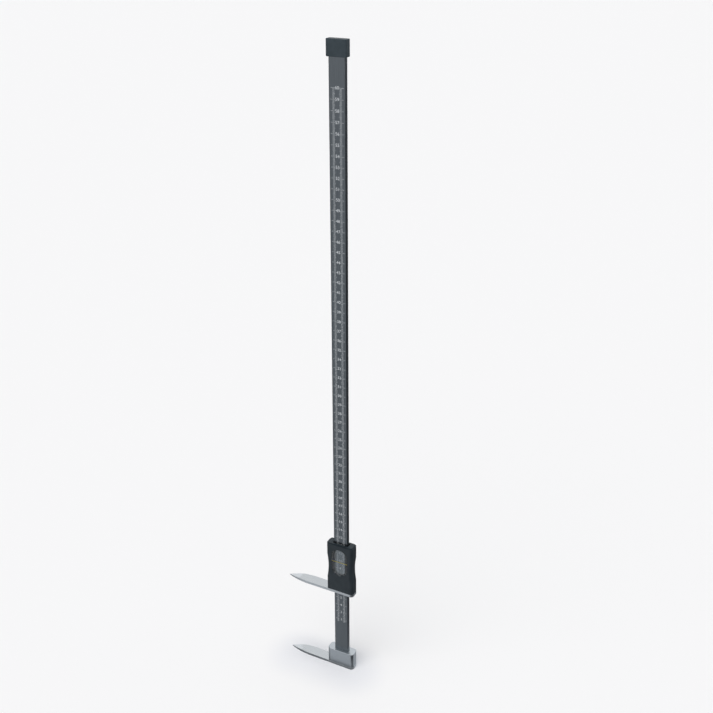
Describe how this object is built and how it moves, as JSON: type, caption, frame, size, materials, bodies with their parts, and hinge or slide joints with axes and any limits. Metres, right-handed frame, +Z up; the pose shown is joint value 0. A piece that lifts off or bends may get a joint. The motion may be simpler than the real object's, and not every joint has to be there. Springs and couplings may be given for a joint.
{
  "type": "segmometer",
  "caption": "Upright graduated ruler with a fixed pointed jaw at its foot and a sliding pointed jaw with a reading window, for measuring body segments.",
  "frame": {"origin": "on the underside of the lower jaw, under the middle of the ruler", "axes": "+Z up along the ruler, -X along the jaws towards their tips, -Y out of the graduated face"},
  "size_m": [0.0815, 0.012, 0.685],
  "materials": {
    "anodised_aluminium": "satin dark grey anodised, printed scale",
    "cap_plastic": "fine moulded texture",
    "satin_aluminium": "satin, bead blasted and clear anodised",
    "ground_steel": "fine ground stainless steel",
    "screw_steel": "plain stainless",
    "black_screw_steel": "black oxide",
    "shell_plastic": "fine moulded texture",
    "clear_acrylic": "clear, polished",
    "yellow_enamel": "enamel filled groove",
    "glide_acetal": "machined acetal",
    "brake_nylon": "machined nylon",
    "spring_steel": "rolled strip"
  },
  "bodies": {
    "ruler_frame": {"ruler": "anodised_aluminium", "top_cap": "cap_plastic", "base_block": "satin_aluminium", "base_jaw": "ground_steel", "base_screws": "screw_steel", "ruler_set_screws": "black_screw_steel"},
    "slider": {"slider_front_shell": "shell_plastic", "slider_rear_shell": "shell_plastic", "window_lens": "clear_acrylic", "index_line": "yellow_enamel", "slider_jaw": "ground_steel", "jaw_screws": "screw_steel", "shell_screws": "black_screw_steel", "front_glide_upper": "glide_acetal", "front_glide_lower": "glide_acetal", "rear_glide_upper": "glide_acetal", "rear_glide_lower": "glide_acetal", "edge_glide": "glide_acetal", "brake_shoe": "brake_nylon", "brake_spring": "spring_steel"}
  },
  "joints": [
    {"name": "slider_travel", "type": "slide", "parent": "ruler_frame", "child": "slider", "axis": [0, 0, 1], "range_m": [-0.0808, 0.5043]}
  ]
}
